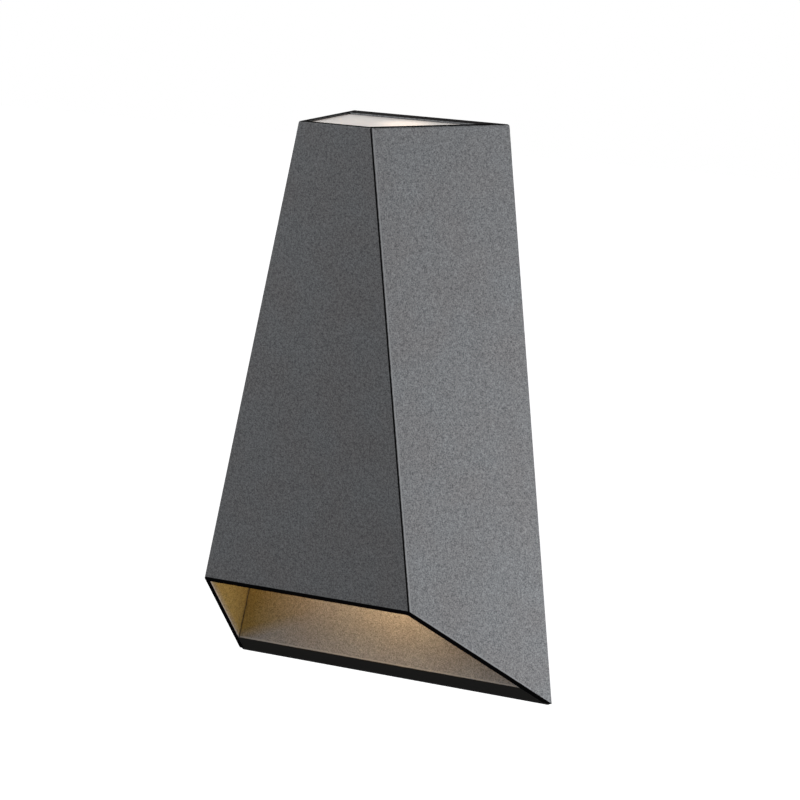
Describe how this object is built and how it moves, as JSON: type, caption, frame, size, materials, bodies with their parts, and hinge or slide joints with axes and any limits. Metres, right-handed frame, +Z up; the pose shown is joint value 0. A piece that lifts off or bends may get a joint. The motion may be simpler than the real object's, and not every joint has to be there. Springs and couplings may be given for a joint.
{
  "type": "wall pack light",
  "caption": "Tapered asymmetric up-and-down wall light: textured grey metal housing, recessed top glass, slanted open bottom, twist-lock lamps on a bracket behind.",
  "frame": {"origin": "centre of the four wall-screw slots, on the wall plane (Y = 0)", "axes": "+Z up, -Y out of the wall towards the viewer, +X to the viewer's right"},
  "size_m": [0.2786, 0.07, 0.42],
  "materials": {
    "housing_coat": "matte fine-textured powder coat, titanium grey, on cast aluminium",
    "plate_coat": "matte fine-textured powder coat, the same grey, on cast aluminium",
    "frosted_glass": "pale satin glass",
    "clear_lens": "clear moulded lens",
    "seal_silicone": "matt silicone",
    "gasket_foam": "closed-cell foam",
    "grommet_rubber": "matt rubber",
    "zinc_steel": "bright zinc-plated",
    "bracket_steel": "galvanised sheet",
    "stainless": "stainless",
    "brass": "bright brass",
    "holder_ceramic": "unglazed steatite",
    "lamp_plastic": "white heat-conducting plastic",
    "block_plastic": "natural polyamide",
    "led_board": "white lacquered board",
    "live_insulation": "brown silicone insulation",
    "neutral_insulation": "blue silicone insulation",
    "earth_insulation": "green and yellow insulation",
    "sleeve_glass_fibre": "glass-fibre sleeving"
  },
  "bodies": {
    "root": {"back_plate": "plate_coat", "lower_baffle": "plate_coat", "wall_gasket": "gasket_foam", "cable_grommet": "grommet_rubber", "locating_pins": "stainless", "lamp_bracket": "bracket_steel", "bracket_screws": "zinc_steel", "lampholder_screws": "zinc_steel", "baffle_screws": "stainless", "retaining_screws": "stainless", "retaining_washers": "stainless", "terminal_block": "block_plastic", "terminal_clamps": "brass", "terminal_screws": "zinc_steel", "terminal_block_screws": "zinc_steel", "earth_screw": "brass", "earth_washer": "stainless", "earth_tag": "brass", "earth_lead": "earth_insulation", "neutral_leads": "neutral_insulation", "live_leads": "live_insulation", "lead_sleeves": "sleeve_glass_fibre", "lampholder_up": "holder_ceramic", "holder_cap_up": "holder_ceramic", "holder_contacts_up": "brass", "lampholder_down": "holder_ceramic", "holder_cap_down": "holder_ceramic", "holder_contacts_down": "brass"},
    "housing": {"housing": "housing_coat", "top_glass": "frosted_glass", "top_glass_seal": "seal_silicone", "rear_seal": "gasket_foam"},
    "lamp_up": {"lamp_up_body": "lamp_plastic", "lamp_up_base": "lamp_plastic", "lamp_up_pins": "zinc_steel", "lamp_up_board": "led_board", "lamp_up_lens": "clear_lens"},
    "lamp_down": {"lamp_down_body": "lamp_plastic", "lamp_down_base": "lamp_plastic", "lamp_down_pins": "zinc_steel", "lamp_down_board": "led_board", "lamp_down_lens": "clear_lens"}
  },
  "joints": [
    {"name": "housing_pull", "type": "slide", "parent": "root", "child": "housing", "axis": [0, -1, 0], "range_m": [0, 0.08]},
    {"name": "lamp_up_twist", "type": "hinge", "parent": "root", "child": "lamp_up", "pos_m": [0, -0.039, 0.071], "axis": [0, 0, 1], "range_deg": [0, 22.5]},
    {"name": "lamp_down_twist", "type": "hinge", "parent": "root", "child": "lamp_down", "pos_m": [0, -0.039, -0.071], "axis": [0, 0, -1], "range_deg": [0, 22.5]}
  ]
}
